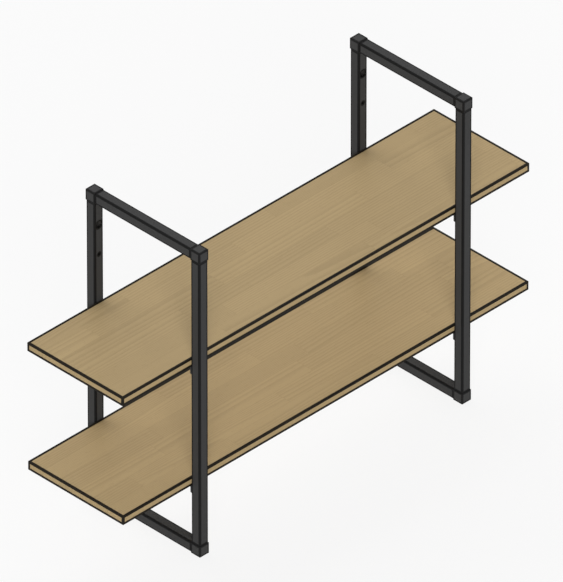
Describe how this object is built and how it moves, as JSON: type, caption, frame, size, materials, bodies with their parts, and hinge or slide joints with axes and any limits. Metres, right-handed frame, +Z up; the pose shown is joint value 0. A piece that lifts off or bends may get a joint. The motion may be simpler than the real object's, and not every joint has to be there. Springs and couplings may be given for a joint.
{
  "type": "shelving unit",
  "caption": "Low open shelving unit: square steel tube side frames with moulded corner cubes carry long wooden boards on angle brackets, with wall fixing holes at the back.",
  "frame": {"origin": "middle of the footprint at floor level, below the middle of the unit", "axes": "+X along the boards, -Y the open front, +Y the wall side, +Z up"},
  "size_m": [1.2, 0.335, 0.774],
  "materials": {
    "tube_coating": "fine matt powder coat, dark grey",
    "connector_plastic": "matt moulded nylon, dark grey",
    "board_wood": "oiled solid wood, glued from staves",
    "bracket_coating": "matt powder coat, dark grey",
    "screw_zinc": "zinc plated"
  },
  "bodies": {
    "root": {"left_front_upright": "tube_coating", "left_back_upright": "tube_coating", "left_bottom_rail": "tube_coating", "left_front_bottom_corner": "connector_plastic", "left_back_bottom_corner": "connector_plastic", "left_top_rail": "tube_coating", "left_front_top_corner": "connector_plastic", "left_back_top_corner": "connector_plastic", "right_front_upright": "tube_coating", "right_back_upright": "tube_coating", "right_bottom_rail": "tube_coating", "right_front_bottom_corner": "connector_plastic", "right_back_bottom_corner": "connector_plastic", "right_top_rail": "tube_coating", "right_front_top_corner": "connector_plastic", "right_back_top_corner": "connector_plastic", "lower_board": "board_wood", "lower_left_front_bracket": "bracket_coating", "lower_left_back_bracket": "bracket_coating", "lower_right_front_bracket": "bracket_coating", "lower_right_back_bracket": "bracket_coating", "lower_upright_screws": "screw_zinc", "lower_board_screws": "screw_zinc", "upper_board": "board_wood", "upper_left_front_bracket": "bracket_coating", "upper_left_back_bracket": "bracket_coating", "upper_right_front_bracket": "bracket_coating", "upper_right_back_bracket": "bracket_coating", "upper_upright_screws": "screw_zinc", "upper_board_screws": "screw_zinc"}
  },
  "joints": []
}
